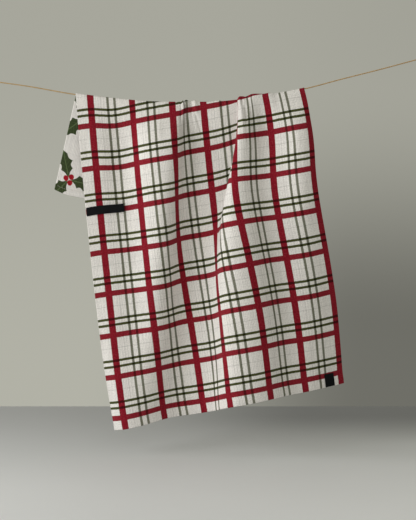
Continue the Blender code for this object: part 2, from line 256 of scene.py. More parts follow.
# The print on the reverse
PRINT_SHIFT = (-36.0, 20.0)   # u and v at which its repeat starts
PRINT_BLUR = 0.4
LEAF_START = 4.0              # from the sprig's middle
LEAF_POINTS = 3.5             # along each side
LEAF_WIDTH = 0.31             # half width, as a share of its length
LEAF_SCALLOP = 0.11           # depth between its points, as a share of its length
VEIN_GAP = 7.0
VEIN_LIGHTER = 3.2
BERRY_PLACE = 1.25            # from the sprig's middle, as a share of the berry's radius
STAR_VALLEY = 0.42            # from the star's middle, as a share of its radius

# The turned hems and the woven side edges
HEM_WIDTH = 9.0
HEM_EASES = 1.8
HEM_ON_FRONT = 0.15           # share of its rise that is on the front
EDGE_WIDTH = 1.6
EDGE_RISE = 0.12
RIM_SWELL = 0.5               # how far a rim stands out, as a share of the thickness

# Hem stitches
STITCH_LINE = 8.4             # from the hem
STITCH_FIRST = 3.0            # from the left side
STITCH_LAST = 5.0             # from the right side
STITCH_PITCH = 3.4
STITCH_LENGTH = 2.7
STITCH_RISE = 0.24
STITCH_SUNK = 0.12
STITCH_POINTS = 6
THREAD_RADIUS = 0.2
THREAD_SIDES = 5

# Steps of the worked sheet, and rows and columns of the finished cloth
SHEET_STEP = 1.5
SHEET_COLUMNS = 500
SHEET_MARGIN = 60.0
HEM_LINES = (0.0, 0.5, 1.6, 4.5, 8.6, 9.6, 10.6, 12.5)
EDGE_LINES = (0.0, 0.5, 1.4, 2.6, 3.6)
FRONT_ROWS = 150
ARCH_ROWS = 13
BACK_ROWS = 52
FRONT_CLOSER = 1.15           # power by which the front's rows draw together at the line
BACK_CLOSER = 1.1             # and the flap's
COLUMNS = (
    # from u, to u, step
    (7.0, 150.0, 3.4), (150.0, 196.0, 2.4), (196.0, 262.0, 1.6), (262.0, 340.0, 2.5),
    (340.0, 402.0, 1.7), (402.0, 493.5, 3.5),
)
RIPPLE_START = 6.0            # distance from the line at which the cloth begins to ripple
RIPPLE_REACH = 30.0

# The stage, in metres
CAMERA_PITCH = 5.0            # how far it looks down, in degrees
LOOK_AT = (0.4166, 0.0, -0.3326)
LAMPS_AIM = (0.42, 0.0, -0.33)
LAMPS = (
    # name, place from where it aims, side, share of the key light's power
    ("key", (-1.98, -0.79, 0.50), 1.8, 1.0),
    ("fill", (0.3, -2.6, 0.6), 1.6, 0.242),
)
FLOOR_X = (-2.6, 3.4, 25)     # left, right and how many lines of points
FLOOR_Y = (-3.5, 0.45, 17)    # near, far and how many
WALL_PAINTED_SHADOW = 0.62             # depth of the painted shadow of the towel low on the backdrop
FLOOR_PAINTED_SHADOW = 0.47            # depth of the painted shadow of the towel in the floor's far right corner


# ---- Settings -------------------------------------------------------------------------------

def length(name, words, default, most=2.0):
    """A size setting, in metres."""
    return bpy.props.FloatProperty(
        name=name, description=words, default=default, min=0.00001, max=most, precision=5,
        unit="LENGTH", subtype="DISTANCE")


def colour(name, words, default):
    """A colour setting, as linear red, green and blue."""
    return bpy.props.FloatVectorProperty(
        name=name, description=words, default=default, size=3, min=0.0, max=1.0, subtype="COLOR")


class TowelSettings(bpy.types.PropertyGroup):
    """Sizes and colours of the cloth."""
    width: length("Width", "Flat width of the cloth, side to side", 0.499)
    cut: length("Length", "Flat length of the cloth, hem to hem", 0.815)
    thickness: length("Thickness", "Thickness of the single cloth", 0.0009, 0.005)
    hem_rise: length("Hem rise", "How much thicker the turned hem is", 0.0009, 0.005)
    repeat: length("Plaid repeat", "Distance from one red stripe to the next", 0.078)
    first_warp: length("First red stripe", "Middle of the leftmost upright red stripe", 0.0255)
    first_weft: length("Lowest red stripe", "Middle of the lowest level red stripe", 0.022)
    rib: length("Rib pitch", "Distance between the weave's upright ribs", 0.0028, 0.02)
    ground: colour("Ground", "Undyed cotton", (0.80, 0.768, 0.735))
    red: colour("Red yarn", "Wide stripes", (0.240, 0.006, 0.017))
    green: colour("Green yarn", "Paired stripes", (0.049, 0.056, 0.009))
    grey: colour("Grey yarn", "Single fine lines", (0.42, 0.40, 0.37))


class PrintSettings(bpy.types.PropertyGroup):
    """Sizes and colours of the holly print on the reverse."""
    spacing: length("Sprig spacing", "Distance from one sprig to the next", 0.118)
    leaf: length("Leaf", "Length of a holly leaf", 0.050)
    berry: length("Berry", "Radius of a berry", 0.0052)
    star: length("Star", "Radius of a small star", 0.010)
    green: colour("Leaf green", "Printed leaves", (0.045, 0.062, 0.025))
    red: colour("Berry red", "Printed berries and stars", (0.36, 0.012, 0.022))


class TrimSettings(bpy.types.PropertyGroup):
    """Sizes and colours of the hanging tape and the hem label."""
    tape_length: length("Tape length", "Length of the hanging tape", 0.070)
    tape_width: length("Tape width", "Width of the hanging tape", 0.015)
    tape_thickness: length("Tape thickness", "Thickness of the hanging tape", 0.0009, 0.005)
    label_left: length("Label place", "From the cloth's left edge to the label", 0.457)
    label_width: length("Label width", "Width of the hem label", 0.021)
    label_height: length("Label height", "Height of the hem label", 0.0245)
    label_thickness: length("Label thickness", "Thickness of the hem label", 0.0007, 0.005)
    black: colour("Black yarn", "Tape and label", (0.0030, 0.0038, 0.0045))
    thread: colour("Sewing thread", "Hem stitches", (0.74, 0.70, 0.63))


class TwineSettings(bpy.types.PropertyGroup):
    """Sizes and colours of the line."""
    diameter: length("Diameter", "Thickness of the twine", 0.0022, 0.02)
    lay: length("Lay", "Length of one full turn of the plies", 0.0095, 0.1)
    light: colour("Light fibre", "Brightest jute fibres", (0.60, 0.42, 0.21))
    dark: colour("Dark fibre", "Darkest jute fibres", (0.30, 0.18, 0.07))


class StageSettings(bpy.types.PropertyGroup):
    """Camera, light and floor."""
    lens: bpy.props.FloatProperty(
        name="Lens", description="Focal length on a 36 mm sensor", default=89.3, min=20.0, max=300.0,
        unit="CAMERA")
    distance: length("Camera distance", "From the camera to the line's plane", 2.4, 20.0)
    floor_height: bpy.props.FloatProperty(
        name="Floor height", description="Height of the floor", default=-0.70, min=-2.0, max=0.0,
        unit="LENGTH", subtype="DISTANCE")
    wall: colour("Wall", "Plain backdrop", (0.41, 0.408, 0.352))
    floor: colour("Floor", "Plain floor", (0.69, 0.695, 0.70))
    key: bpy.props.FloatProperty(
        name="Key light", description="Power of the large soft light", default=37.8, min=0.0, max=500.0,
        unit="POWER")


# ---- Curves and bells ------------------------------------------------------------------------

def through(stations, values, at):
    """Smooth cubic curve through a few values, level at its peaks."""
    stations = np.asarray(stations, float)
    values = np.asarray(values, float)
    slopes = np.gradient(values, stations)
    steps = np.diff(values)
    slopes[1:-1][steps[:-1] * steps[1:] <= 0] = 0.0
    at = np.clip(at, stations[0], stations[-1])
    left = np.clip(np.searchsorted(stations, at) - 1, 0, len(stations) - 2)
    span = stations[left + 1] - stations[left]
    s = (at - stations[left]) / span
    start = (2 * s**3 - 3 * s**2 + 1) * values[left] + (s**3 - 2 * s**2 + s) * span * slopes[left]
    end = (3 * s**2 - 2 * s**3) * values[left + 1] + (s**3 - s**2) * span * slopes[left + 1]
    return start + end


def through_pairs(pairs, at):
    """The same curve through (station, value) pairs."""
    stations, values = zip(*pairs)
    return through(stations, values, at)


def bell(x):
    """1 at the middle, falling as a cosine to 0 at -1 and 1."""
    return 0.5 * (1.0 + np.cos(np.pi * np.clip(x, -1.0, 1.0)))


def ease(x):
    """0 to 1 with level ends."""
    x = np.clip(x, 0.0, 1.0)
    return x * x * (3.0 - 2.0 * x)


def added(rows, u, drop):
    """Sum of the bells in a table of folds, at each u and drop."""
    total = np.zeros_like(u)
    for _, centre, half, size in rows:
        offset = (u - through(DROPS, centre, drop)) / through(DROPS, half, drop)
        total += through(DROPS, size, drop) * bell(offset)
    return total


def running(values, u):
    """Running integral of each row along u."""
    area = 0.5 * (values[:, 1:] + values[:, :-1]) * np.diff(u)
    return np.concatenate([np.zeros((len(values), 1)), np.cumsum(area, axis=1)], axis=1)


def line_height(x):
    """Height of the twine's axis."""
    return through_pairs(ROUTE, x)


# ---- The drape -------------------------------------------------------------------------------

def line_radius(context):
    """From the twine's axis to the middle of the cloth that rests on it."""
    return context.scene.twine.diameter / MM / 2 + CLOTH_GAP + SOLID_THICKNESS / 2


def line_lift(u, wider=0.0):
    """How far bunched cloth stands off the line, or the same spread over wider bells of like area."""
    return sum(height * half / (half + wider) * bell((u - centre) / (half + wider))
               for _, centre, half, height in LIFTS)


def left_edge(v):
    """x and z of the front's left edge, followed down and up from the line by its lean."""
    path = np.arange(0.0, ON_LINE_LEFT + SHEET_MARGIN, SHEET_STEP)
    lean = np.radians(through_pairs(LEFT_LEAN, ON_LINE_LEFT - path))[None, :]
    across = running(np.sin(lean), path)[0]
    up = running(np.cos(lean), path)[0]
    x = TOWEL_LEFT - (across - np.interp(ON_LINE_LEFT, path, across))
    z = line_height(TOWEL_LEFT) + up - np.interp(ON_LINE_LEFT, path, up)
    return np.interp(v, path, x), np.interp(v, path, z)


def front_sheet(context, u, v):
    """Middle surface of the front: x, y and z for each row v and column u.

    Along each row the cloth turns by its folds: x grows by cos(turn), depth by sin(turn), so its
    width is kept as it goes in and out."""
    width = context.scene.towel.width / MM
    grid_u, grid_v = np.meshgrid(u, v)
    on_line = ON_LINE_LEFT + (ON_LINE_RIGHT - ON_LINE_LEFT) * grid_u / width
    drop = np.clip(on_line - grid_v, 0.0, None)
    turn = np.radians(added(FLANKS, grid_u, drop))
    slope = np.radians(WEFT_SLOPE + added(SHEARS, grid_u, drop))
    kept = np.ones_like(grid_u)
    for _, centre, half, share in GATHERS:
        kept -= share * bell((grid_u - centre) / half) * np.exp(-drop / GATHER_REACH)

    x_left, z_left = left_edge(v)
    x = x_left[:, None] + running(np.cos(turn) * np.cos(slope) * kept, u)
    z = z_left[:, None] + running(np.sin(slope), u)
    depth = running(np.sin(turn) * np.cos(slope), u)
    lifted = line_lift(grid_u) * np.exp(-drop / LIFT_REACH)
    y = -line_radius(context) - ease(drop / FOLD_START) * depth
    y = y - through_pairs(FORWARD, drop) - lifted
    return x, y, z


def small_creases(u, drop):
    """Height of the small creases: a bell across each one's path, eased in and out along it."""
    total = np.zeros_like(u)
    for _, u_top, u_foot, top, foot, half, height in CREASES:
        along = (drop - top) / (foot - top)
        centre = u_top + (u_foot - u_top) * along
        total += height * bell((u - centre) / half) * bell(2.0 * along - 1.0)
    return total


def slow_ripple(u, v):
    """Faint unevenness all over, as three crossing waves of different lengths, in millimetres."""
    return (0.22 * np.sin(u / 11.0 + 0.9 * np.sin(v / 47.0))
            + 0.18 * np.sin(v / 17.0 + 1.3 * np.sin(u / 29.0))
            + 0.16 * np.sin((u + 0.6 * v) / 19.0 + 2.0))


def towel_columns(context):
    """u of each column: close together at the side edges, and at the trough and the pleat."""
    edge = np.array(EDGE_LINES)
    inner = [np.arange(*zone) for zone in COLUMNS]
    return np.concatenate([edge, *inner, context.scene.towel.width / MM - edge[::-1]])


def line_crossing(v, sheet):
    """v, x and z at which each column of the front meets the line.

    It is where the column's height above the twine's axis passes 0."""
    above = sheet[2] - line_height(sheet[0])
    near_top = v > ON_LINE_RIGHT / 2
    top = np.array([np.interp(0.0, column, v[near_top]) for column in above[near_top].T])
    crest_x = np.array([np.interp(at, v, column) for at, column in zip(top, sheet[0].T)])
    return top, crest_x, line_height(crest_x)


def towel_surface(context):
    """Middle surface of the whole towel as rows of points, and each point's u and v.

    The front rises to where it meets the line, goes over it as a half circle, and falls as the
    back flap. Ripples and small creases then move each point along the surface's normal."""
    u = towel_columns(context)
    v = np.arange(0.0, ON_LINE_LEFT + SHEET_MARGIN, SHEET_STEP)
    sheet = front_sheet(context, u, v)
    top, crest_x, crest_z = line_crossing(v, sheet)
    radius = line_radius(context) + line_lift(u)
    hem = HEM_LINES[-1]
    up_share = 1.0 - (1.0 - np.linspace(0.0, 1.0, FRONT_ROWS + 1)[1:]) ** FRONT_CLOSER

    rows, flat_v = [], []
    front_v = [np.full_like(u, line) for line in HEM_LINES]
    front_v += [hem + (top - hem) * share for share in up_share]
    for at in front_v:
        rows.append([[np.interp(one, v, column) for one, column in zip(at, part.T)] for part in sheet])
        flat_v.append(at)
    rows[-1] = [crest_x, -radius, crest_z]
    for angle in np.linspace(0.0, np.pi, ARCH_ROWS + 1)[1:-1]:
        rows.append([crest_x, -radius * np.cos(angle), crest_z + radius * np.sin(angle)])
        flat_v.append(top + radius * angle)
    for row, at in back_flap(context, u, top, crest_x, crest_z):
        rows.append(row)
        flat_v.append(at)

    points = np.array(rows).transpose(0, 2, 1)
    flat_v = np.array(flat_v)
    flat_u = np.broadcast_to(u, flat_v.shape)
    from_crest = np.abs(top + 0.5 * np.pi * radius - flat_v)
    relief = slow_ripple(flat_u, flat_v) * ease((from_crest - RIPPLE_START) / RIPPLE_REACH)
    relief = relief + small_creases(flat_u, top - flat_v)
    return points + outward(points) * relief[..., None], flat_u, flat_v


def back_flap(context, u, top, crest_x, crest_z):
    """Rows of the back flap, each as its x, y and z, and its v.

    The flap takes what the cut leaves over. Its rows go from the crest's place to a straight one
    and lean with its edges, and it swings out behind, with soft waves and one bulge. What the
    bunched cloth takes up over the line is evened out down it, as a cube of what is left to fall."""
    width, cut = context.scene.towel.width / MM, context.scene.towel.cut / MM
    hem = HEM_LINES[-1]
    even_x = crest_x[0] + (crest_x[-1] - crest_x[0]) * u / width
    even_z = line_height(even_x)
    lean = np.radians(BACK_LEAN_LEFT + (BACK_LEAN_RIGHT - BACK_LEAN_LEFT) * u / width)
    over = top + np.pi * (line_radius(context) + line_lift(u))
    evened = top + np.pi * (line_radius(context) + line_lift(u, LIFT_EVENS))
    fall = cut - evened
    wave = BACK_WAVE_DEPTH * 0.5 * (1.0 - np.cos(FULL_TURN * u / BACK_WAVE_LENGTH))
    bulge_u, bulge_half, bulge_depth = BACK_BULGE
    bulge = bulge_depth * bell((u - bulge_u) / bulge_half)
    swing = math.tan(math.radians(BACK_SWING))

    stations = []
    for s in np.linspace(0.0, 1.0, BACK_ROWS) ** BACK_CLOSER:
        drop = (fall - hem) * s
        stations.append((drop, evened + drop + (over - evened) * (1.0 - s) ** 3))
    stations += [(fall - line, np.full_like(u, cut - line)) for line in HEM_LINES[-2::-1]]
    rows = []
    for drop, at in stations:
        spread = ease(drop / BACK_SPREAD)
        x = crest_x * (1 - spread) + even_x * spread + drop * np.sin(lean)
        y = line_radius(context) + line_lift(u) * np.exp(-drop / LIFT_REACH)
        y = y + drop * swing + ease(drop / BACK_OPENS) * (wave + bulge)
        z = crest_z * (1 - spread) + even_z * spread - drop * np.cos(lean)
        rows.append(([x, y, z], at))
    return rows


def outward(points):
    """Unit normal at each point of a grid, on the side from which u runs right and v runs up."""
    across = np.gradient(points, axis=1)
    along = np.gradient(points, axis=0)
    normal = np.cross(across, along)
    return normal / np.maximum(np.linalg.norm(normal, axis=-1, keepdims=True), 1e-9)


def on_front(context, u, v, offset, slant=0.0):
    """Points that follow the front at a distance in front of its middle surface.

    Its rows leave the cloth's own by slant, up to the right."""
    all_u = np.linspace(0.0, context.scene.towel.width / MM, SHEET_COLUMNS)
    parts = front_sheet(context, all_u, v)
    points = np.stack([[np.interp(u, all_u, row) for row in part] for part in parts], axis=-1)
    along = np.gradient(points, v, axis=0)
    normal = np.cross(np.gradient(points, u, axis=1), along)
    normal /= np.linalg.norm(normal, axis=-1, keepdims=True)
    return points + normal * offset[..., None] + along * (slant * (u - u[0]))[:, None]


def strip_lines(size, near, far, between):
    """Places across a strip: close together at its two edges, and evenly apart between them."""
    inner = np.linspace(near[-1], size - far[-1], between)
    return np.concatenate([near[:-1], inner, size - np.array(far[-2::-1])])


# ---- Meshes from grids -----------------------------------------------------------------------

def grid_faces(rows, columns, first=0):
    """Four-cornered faces of a grid of points, counter-clockwise as u runs right and v runs up."""
    index = first + np.arange(rows * columns).reshape(rows, columns)
    corners = (index[:-1, :-1], index[:-1, 1:], index[1:, 1:], index[1:, :-1])
    return np.stack(corners, axis=-1).reshape(-1, 4)


def border(rows, columns):
    """Indices of a grid's outline, counter-clockwise, each once."""
    index = np.arange(rows * columns).reshape(rows, columns)
    return np.concatenate([index[0, :-1], index[:-1, -1], index[-1, :0:-1], index[:0:-1, 0]])


def new_piece(name, points, faces, uv=None, slots=None):
    """A smooth mesh object from points in millimetres, with u and v of each point as its UV map."""
    mesh = bpy.data.meshes.new(name)
    mesh.from_pydata((np.asarray(points) * MM).tolist(), [], np.asarray(faces).tolist())
    if uv is not None:
        corner = np.zeros(len(mesh.loops), dtype=np.int32)
        mesh.loops.foreach_get("vertex_index", corner)
        layer = mesh.uv_layers.new(name="flat")
        layer.uv.foreach_set("vector", np.asarray(uv, np.float32)[corner].ravel())
    if slots is not None:
        mesh.polygons.foreach_set("material_index", np.asarray(slots, np.int32))
    weld(mesh)
    mesh.shade_smooth()
    item = bpy.data.objects.new(name, mesh)
    bpy.context.scene.collection.objects.link(item)
    return item


def weld(mesh):
    """Joins points of a mesh that lie in one place, as they do at the closed ends of tubes."""
    bm = bmesh.new()
    bm.from_mesh(mesh)
    bmesh.ops.remove_doubles(bm, verts=bm.verts, dist=WELD * MM)
    bm.to_mesh(mesh)
    bm.free()


def shell(name, middle, front, behind, flat_u, flat_v):
    """A closed sheet: the middle surface moved out by front and back by behind, with a rounded rim.

    The rim's own row lies outside the sheet's edge by a share of the sheet's thickness there."""
    rows, columns = middle.shape[:2]
    normal = outward(middle)
    outer = middle + normal * np.asarray(front)[..., None]
    inner = middle - normal * np.asarray(behind)[..., None]

    pushed = np.zeros_like(middle)
    pushed[0] += middle[0] - middle[1]
    pushed[-1] += middle[-1] - middle[-2]
    pushed[:, 0] += middle[:, 0] - middle[:, 1]
    pushed[:, -1] += middle[:, -1] - middle[:, -2]
    loop = border(rows, columns)
    out = pushed.reshape(-1, 3)[loop]
    out /= np.linalg.norm(out, axis=-1, keepdims=True)
    flat_outer = outer.reshape(-1, 3)
    flat_inner = inner.reshape(-1, 3)
    thick = np.linalg.norm(flat_outer[loop] - flat_inner[loop], axis=-1, keepdims=True)
    rim = 0.5 * (flat_outer[loop] + flat_inner[loop]) + out * thick * RIM_SWELL

    count = rows * columns
    faces = grid_faces(rows, columns)
    back = grid_faces(rows, columns, count)[:, ::-1]
    after = np.roll(np.arange(len(loop)), -1)
    middle_row = 2 * count + np.arange(len(loop))
    near = np.stack([loop[after], loop, middle_row, middle_row[after]], axis=-1)
    far = np.stack([middle_row[after], middle_row, count + loop, count + loop[after]], axis=-1)
    points = np.concatenate([flat_outer, flat_inner, rim])
    flat = np.stack([flat_u, flat_v], axis=-1).reshape(-1, 2)
    uv = np.concatenate([flat, flat, flat[loop]])
    slots = np.repeat([0, 1, 0, 1], [len(faces), len(back), len(near), len(far)])
    return new_piece(name, points, np.concatenate([faces, back, near, far]), uv, slots)


def frames_along(path):
    """Side and up of a path at each of its points, square to it; up is also square to +Y."""
    direction = np.gradient(path, axis=0)
    direction /= np.linalg.norm(direction, axis=1, keepdims=True)
    up = np.cross(direction, np.array([0.0, 1.0, 0.0]))
    flat = np.linalg.norm(up, axis=1, keepdims=True) < 1e-6
    up = np.where(flat, np.array([0.0, 0.0, 1.0]), up)
    up /= np.linalg.norm(up, axis=1, keepdims=True)
    return np.cross(up, direction), up


def tube(path, radius, sides):
    """Rings of points round a path and their faces; each end closes to a point on the path."""
    side, up = frames_along(path)
    angle = np.arange(sides) * FULL_TURN / sides
    radius = np.ones(len(path)) * radius
    ring = np.cos(angle)[None, :, None] * side[:, None] + np.sin(angle)[None, :, None] * up[:, None]
    radius[[0, -1]] = 0.0
    points = (path[:, None] + ring * radius[:, None, None]).reshape(-1, 3)
    index = np.arange(len(path) * sides).reshape(len(path), sides)
    after = np.roll(index, -1, axis=1)
    return points, np.stack([index[:-1], after[:-1], after[1:], index[1:]], axis=-1).reshape(-1, 4)


def joined(parts):
    """Several (points, faces, uv) meshes as one."""
    points, faces, uv, first = [], [], [], 0
    for part_points, part_faces, part_uv in parts:
        points.append(part_points)
        faces.append(part_faces + first)
        uv.append(part_uv)
        first += len(part_points)
    return np.concatenate(points), np.concatenate(faces), np.concatenate(uv)


def twisted(path, diameter, lay):
    """Three plies wound round a path: each one's middle circles it once a lay, beside the others.

    Two slow waves of unlike lengths make each ply thicker and thinner along the line."""
    ply = diameter / (2.0 * (1.0 + 2.0 / math.sqrt(3.0)))
    away = ply * 2.0 / math.sqrt(3.0)
    side, up = frames_along(path)
    along = np.concatenate([[0.0], np.cumsum(np.linalg.norm(np.diff(path, axis=0), axis=1))])
    parts = []
    for number in range(PLIES):
        turn = FULL_TURN * (along / lay + number / PLIES)
        centre = path + away * (np.cos(turn)[:, None] * side + np.sin(turn)[:, None] * up)
        waves = np.sin(along / 3.1 + 2.0 * number) * np.sin(along / 7.7 + number)
        points, faces = tube(centre, ply * (PLY_FULLNESS + PLY_UNEVEN * waves), PLY_SIDES)
        around = np.tile(np.arange(PLY_SIDES) / PLY_SIDES, len(path))
        uv = np.stack([np.repeat(along, PLY_SIDES), around * 2.0 + 3.0 * number], axis=-1)
        parts.append((points, faces, uv))
    return joined(parts)


# ---- Materials -------------------------------------------------------------------------------

class Value:
    """What a node gives, as a term of a formula: each sum made with it adds a node."""

    def __init__(self, painter, socket):
        self.painter = painter
        self.socket = socket

    def __add__(self, other):
        return self.painter.maths("ADD", self, other)

    def __sub__(self, other):
        return self.painter.maths("SUBTRACT", self, other)

    def __rsub__(self, other):
        return self.painter.maths("SUBTRACT", other, self)

    def __mul__(self, other):
        return self.painter.maths("MULTIPLY", self, other)

    def __truediv__(self, other):
        return self.painter.maths("DIVIDE", self, other)

    def __abs__(self):
        return self.painter.maths("ABSOLUTE", self)

    def sin(self):
        """Its sine."""
        return self.painter.maths("SINE", self)

    def cos(self):
        """Its cosine."""
        return self.painter.maths("COSINE", self)


class Painter:
    """A node tree whose nodes are chained as formulas."""

    def __init__(self, tree):
        self.tree = tree

    def node(self, kind, **settings):
        """A new node with these settings."""
        made = self.tree.nodes.new(kind)
        for key, value in settings.items():
            setattr(made, key, value)
        return made

    def feed(self, socket, value):
        """Links a value into a socket, or sets the socket's own number."""
        if isinstance(value, Value):
            self.tree.links.new(value.socket, socket)
        else:
            socket.default_value = value

    def maths(self, operation, *values):
        """One sum."""
        made = self.node("ShaderNodeMath", operation=operation)
        for socket, value in zip(made.inputs, values):
            self.feed(socket, value)
        return Value(self, made.outputs[0])

    def wrap(self, value, reach):
        """A value brought between -reach and reach by whole steps."""
        return self.maths("WRAP", value, reach, -reach)

    def split(self, kind, name, **settings):
        """x, y and z of what a new node of this kind gives under this name."""
        made = self.node("ShaderNodeSeparateXYZ")
        self.feed(made.inputs[0], Value(self, self.node(kind, **settings).outputs[name]))
        return [Value(self, socket) for socket in made.outputs]

    def flat(self):
        """u and v of the flat cloth, in millimetres."""
        return self.split("ShaderNodeUVMap", "UV", uv_map="flat")[:2]

    def point(self, x, y, z=0.0):
        """Three numbers as one vector."""
        made = self.node("ShaderNodeCombineXYZ")
        for socket, value in zip(made.inputs, (x, y, z)):
            self.feed(socket, value)
        return Value(self, made.outputs[0])

    def noise(self, x, y, z=0.0, scale=1.0, detail=2.0):
        """Soft noise about 0.5 at x, y and z; on cloth, z only sets one noise apart from another."""
        made = self.node("ShaderNodeTexNoise")
        self.feed(made.inputs["Vector"], self.point(x, y, z))
        made.inputs["Scale"].default_value = scale
        made.inputs["Detail"].default_value = detail
        return Value(self, made.outputs["Fac"])

    def fade(self, value, low, high, at_low=0.0, at_high=1.0):
        """Smooth step from at_low, below low, to at_high, above high."""
        made = self.node("ShaderNodeMapRange", interpolation_type="SMOOTHSTEP")
        for socket, number in zip(made.inputs, (value, low, high, at_low, at_high)):
            self.feed(socket, number)
        return Value(self, made.outputs[0])

    def mix(self, share, first, second, blend="MIX"):
        """One colour over another."""
        made = self.node("ShaderNodeMix", data_type="RGBA", blend_type=blend)
        for key, value in (("Factor_Float", share), ("A_Color", first), ("B_Color", second)):
            socket = next(s for s in made.inputs if s.identifier == key)
            self.feed(socket, value if isinstance(value, (Value, float)) else (*value, 1.0))
        return Value(self, next(s for s in made.outputs if s.identifier == "Result_Color"))

    def scaled(self, first, shade):
        """A colour made lighter or darker by a number about 1."""
        made = self.node("ShaderNodeVectorMath", operation="SCALE")
        self.feed(made.inputs[0], first)
        self.feed(made.inputs["Scale"], shade)
        return Value(self, made.outputs[0])

    def stripe(self, position, middle, repeat, width):
        """1 inside a stripe that comes back every repeat, and 0 outside it."""
        nearest = abs(self.wrap(position - middle, repeat / 2))
        return self.fade(nearest, width / 2 - STRIPE_BLUR, width / 2 + STRIPE_BLUR, 1.0, 0.0)


class Finish(Painter):
    """A material, with its shader fed from its formulas."""

    def __init__(self, name, roughness, specular):
        self.material = bpy.data.materials.new(name)
        self.material.use_nodes = True
        super().__init__(self.material.node_tree)
        self.shader = self.tree.nodes["Principled BSDF"]
        self.shader.inputs["Roughness"].default_value = roughness
        self.shader.inputs["Specular IOR Level"].default_value = specular

    def paint(self, first, shade):
        """The shader's colour, made lighter or darker by a number about 1."""
        self.feed(self.shader.inputs["Base Color"], self.scaled(first, shade))

    def bump(self, height, distance):
        """Fine relief on the shader's normal; distance is in millimetres."""
        made = self.node("ShaderNodeBump")
        made.inputs["Distance"].default_value = distance * MM
        self.feed(made.inputs["Height"], height)
        self.tree.links.new(made.outputs[0], self.shader.inputs["Normal"])


def tint(yarn, ground):
    """What a dyed yarn does to the ground colour."""
    return tuple(min(1.0, a / b) for a, b in zip(yarn, ground))


def cotton(name, rib):
    """Ribbed cotton: its finish, u and v with a slight wander, its painted shade and yarn tone, and its
    relief.

    The relief is a rib, as a cosine across the cloth, crossed by picks that shift half a pick from
    one rib to the next. Painted shade darkens the colour between them, and long thin noises along
    the warp and the weft stand for thick and thin yarns. Sheen is the bloom of fibres at a glancing
    angle."""
    finish = Finish(name, roughness=0.92, specular=0.07)
    finish.shader.inputs["Sheen Weight"].default_value = 0.04
    finish.shader.inputs["Sheen Roughness"].default_value = 0.55
    u, v = finish.flat()
    u_now = u + (finish.noise(u * 0.05, v * 0.6) - 0.5) * YARN_WANDER
    v_now = v + (finish.noise(u * 0.6, v * 0.05, 7.0) - 0.5) * YARN_WANDER
    across = u_now * (FULL_TURN / rib)
    ridge = across.cos()
    pick = across.sin() * (v_now * (FULL_TURN / PICK_PITCH)).sin()
    warp_slub = finish.noise(u * 1.3, v * 0.02, 3.0)
    weft_slub = finish.noise(u * 0.02, v * 1.3, 5.0)
    # Painted shade between ribs and between picks; the slub noises after it are the yarns' own tone
    shade = finish.fade(ridge, -1.0, 0.4, -RIB_PAINTED_SHADE, 0.0)
    shade = shade + finish.fade(pick, -1.0, 0.0, -PICK_PAINTED_SHADE, 0.0)
    shade = shade + finish.fade(warp_slub, 0.3, 0.7, -WARP_SHADE, WARP_SHADE)
    shade = shade + finish.fade(weft_slub, 0.3, 0.7, -WEFT_SHADE, WEFT_SHADE)
    return finish, u_now, v_now, shade + 1.0, ridge * 0.5 + pick * 0.35


def plaid_finish(context):
    """The woven plaid: wide red stripes, pairs of green ones and fine grey lines, both ways.

    Stripes tint what they cross, so green darkens green and red, and red over red stays red."""
    towel = context.scene.towel
    finish, u, v, shade, relief = cotton("plaid_cotton", towel.rib / MM)
    repeat = towel.repeat / MM
    ground = tuple(towel.ground)
    red, green, grey = tint(towel.red, ground), tint(towel.green, ground), tint(towel.grey, ground)

    pebble = finish.noise(u * 0.45, v * 0.55, 9.0)
    dyed = finish.fade(pebble, 0.45, 0.80, 1.0, 0.96)
    places = {"u": (u, towel.first_warp / MM), "v": (v, towel.first_weft / MM)}
    look = dye(finish, ground, GREY_LINES, places, repeat, dyed, grey)
    red_share = finish.maths("MAXIMUM", *(
        finish.stripe(*places[way], repeat, width) * strength for way, width, strength in RED_STRIPES))
    look = finish.mix(red_share * dyed, look, red, "MULTIPLY")
    over_red = dyed * (1.0 - red_share * RED_RESISTS)
    look = dye(finish, look, GREEN_STRIPES, places, repeat, over_red, green)
    finish.paint(look, shade + finish.fade(pebble, 0.32, 0.68, -0.10, 0.10))
    finish.bump(relief + pebble * 1.2, WEAVE_RELIEF)
    return finish.material


def dye(finish, look, rows, places, repeat, dyed, yarn):
    """The look with a table of stripes dyed over it, each as strongly as its row says."""
    for way, share, width, strength in rows:
        position, first = places[way]
        line = finish.stripe(position, first + share * repeat, repeat, width)
        look = finish.mix(line * strength * dyed, look, yarn, "MULTIPLY")
    return look


def turned(x, y, angle):
    """x and y turned by an angle."""
    cos, sin = angle.cos(), angle.sin()
    return x * cos + y * sin, y * cos - x * sin


def away(finish, x, y):
    """Distance of the point x, y from the middle, where both are 0."""
    return finish.maths("SQRT", x * x + y * y)


def print_cells(finish, u, v, spacing, shift_u, shift_v):
    """Half-drop repeat: a point's place from its cell's middle, turned by chance for each cell."""
    column = finish.maths("FLOOR", (u - shift_u) / spacing)
    dropped = v - shift_v + finish.maths("MODULO", abs(column), 2.0) * (spacing / 2)
    row = finish.maths("FLOOR", dropped / spacing)
    chance = finish.node("ShaderNodeTexWhiteNoise", noise_dimensions="2D")
    finish.feed(chance.inputs["Vector"], finish.point(column, row))
    x = u - shift_u - (column * spacing + spacing / 2)
    y = dropped - (row * spacing + spacing / 2)
    return turned(x, y, Value(finish, chance.outputs["Value"]) * FULL_TURN)


